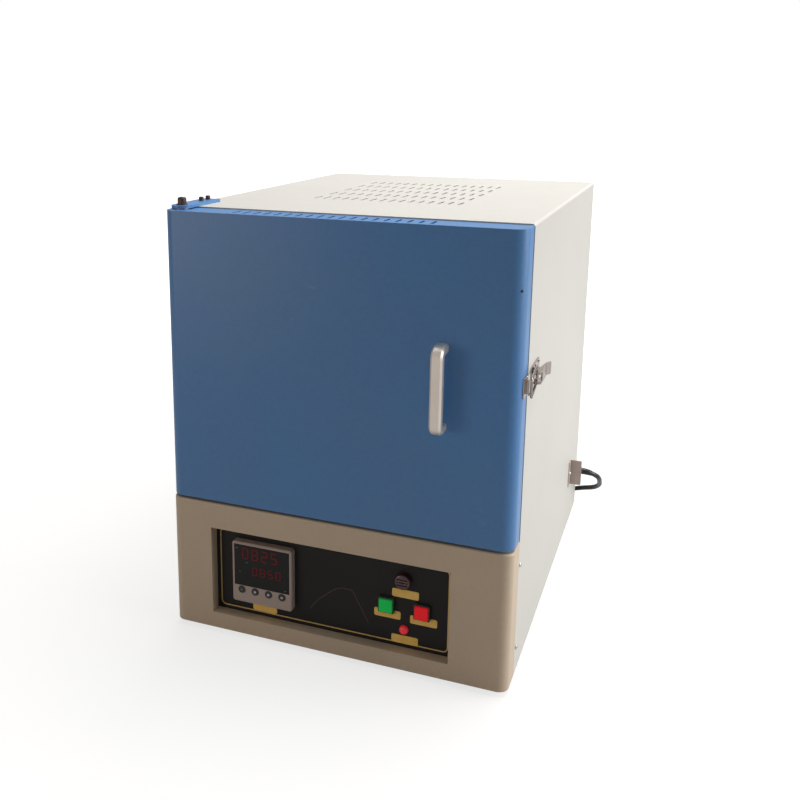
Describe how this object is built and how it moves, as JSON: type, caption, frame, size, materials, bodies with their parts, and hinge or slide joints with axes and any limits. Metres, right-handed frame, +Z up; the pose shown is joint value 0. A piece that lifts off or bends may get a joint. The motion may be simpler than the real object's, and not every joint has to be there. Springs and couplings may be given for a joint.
{
  "type": "muffle furnace",
  "caption": "Bench muffle furnace: insulated chamber behind a side-hinged door with a draw latch, controls in a recessed panel below, cooling slots in the top.",
  "frame": {"origin": "middle of the footprint, on the floor, measured without the cord, its coil and plug", "axes": "+X to the right seen from the front, +Y towards the back, +Z up; the door is in front, towards -Y"},
  "size_m": [0.565, 0.8708, 0.653],
  "materials": {
    "case_paint": "satin, cream",
    "fascia_paint": "satin, beige",
    "door_paint": "satin, mid blue",
    "bare_steel": "brushed",
    "insulation": "rough white ceramic fibre",
    "hearth": "matt",
    "element": "oxidised",
    "porcelain": "glazed",
    "foot_rubber": "matt",
    "screw": "bright",
    "black_screw": "black oxide",
    "panel": "matt black",
    "controller": "matt grey-beige",
    "display": "gloss, nearly black",
    "black_plastic": "matt",
    "green_cap": "gloss",
    "red_cap": "gloss",
    "dark_red": "gloss",
    "lamp_red": "gloss",
    "brass": "plain",
    "handle_metal": "satin",
    "latch_chrome": "bright",
    "sink_aluminium": "extruded",
    "bracket_paint": "satin, beige",
    "cord_rubber": "satin"
  },
  "bodies": {
    "cabinet": {"cabinet_shell": "case_paint", "base_plate": "case_paint", "rear_panel": "case_paint", "front_plate": "case_paint", "chamber_shelf": "bare_steel", "shelf_rails": "bare_steel", "inner_shell": "bare_steel", "insulation_floor": "insulation", "insulation_roof": "insulation", "insulation_right": "insulation", "insulation_left": "insulation", "insulation_rear": "insulation", "hearth_plate": "hearth", "element_right": "element", "element_left": "element", "element_terminals": "porcelain", "thermocouple": "element", "feet": "foot_rubber", "lower_fascia": "fascia_paint", "side_screws": "screw", "control_panel": "panel", "controller": "controller", "controller_display": "display", "start_housing": "black_plastic", "stop_housing": "black_plastic", "alarm_buzzer": "dark_red", "indicator_lamp": "lamp_red", "hinge_bracket": "door_paint", "hinge_bolt": "black_screw", "bracket_screws": "black_screw", "lower_hinge_plate": "door_paint", "latch_base": "latch_chrome", "fan_frame": "black_plastic", "fan_grille": "bare_steel", "rear_screws": "screw", "heat_sink": "sink_aluminium", "relay": "black_plastic", "breaker": "black_plastic", "cord_bracket": "bracket_paint", "cord_gland": "black_plastic", "cord_tube": "cord_rubber", "cord_coil": "cord_rubber", "plug": "black_plastic"},
    "door": {"door_shell": "door_paint", "door_plate": "bare_steel", "door_insulation": "insulation", "door_plug": "insulation", "hinge_bushes": "brass", "door_handle": "handle_metal", "handle_screws": "screw", "latch_keeper": "latch_chrome"},
    "lever": {"latch_lever": "latch_chrome"},
    "bail": {"latch_bail": "latch_chrome"},
    "start_cap": {"start_button": "green_cap"},
    "stop_cap": {"stop_button": "red_cap"},
    "key_1": {"key_1": "black_plastic"},
    "key_2": {"key_2": "black_plastic"},
    "key_3": {"key_3": "black_plastic"},
    "key_4": {"key_4": "black_plastic"},
    "rotor": {"fan_rotor": "black_plastic"}
  },
  "joints": [
    {"name": "door_hinge", "type": "hinge", "parent": "cabinet", "child": "door", "pos_m": [-0.2479, -0.2939, 0.424], "axis": [0, 0, -1], "range_deg": [0, 110]},
    {"name": "latch_lever_pivot", "type": "hinge", "parent": "cabinet", "child": "lever", "pos_m": [0.2536, -0.2479, 0.4325], "axis": [0, 0, -1], "range_deg": [0, 150]},
    {"name": "latch_bail_pivot", "type": "hinge", "parent": "lever", "child": "bail", "pos_m": [0.2506, -0.2369, 0.4325], "axis": [0, 0, -1], "range_deg": [-150, 0]},
    {"name": "start_press", "type": "slide", "parent": "cabinet", "child": "start_cap", "axis": [0, 1, 0], "range_m": [0, 0.003], "stiffness_N_per_m": 300},
    {"name": "stop_press", "type": "slide", "parent": "cabinet", "child": "stop_cap", "axis": [0, 1, 0], "range_m": [0, 0.003], "stiffness_N_per_m": 300},
    {"name": "key_1_press", "type": "slide", "parent": "cabinet", "child": "key_1", "axis": [0, 1, 0], "range_m": [0, 0.0008], "stiffness_N_per_m": 500},
    {"name": "key_2_press", "type": "slide", "parent": "cabinet", "child": "key_2", "axis": [0, 1, 0], "range_m": [0, 0.0008], "stiffness_N_per_m": 500},
    {"name": "key_3_press", "type": "slide", "parent": "cabinet", "child": "key_3", "axis": [0, 1, 0], "range_m": [0, 0.0008], "stiffness_N_per_m": 500},
    {"name": "key_4_press", "type": "slide", "parent": "cabinet", "child": "key_4", "axis": [0, 1, 0], "range_m": [0, 0.0008], "stiffness_N_per_m": 500},
    {"name": "fan_spin", "type": "hinge", "parent": "cabinet", "child": "rotor", "pos_m": [-0.1194, 0.3341, 0.113], "axis": [0, 1, 0], "continuous": true}
  ],
  "couplings": [
    {"joint": "latch_bail_pivot", "follows": "latch_lever_pivot", "ratio": -1}
  ]
}
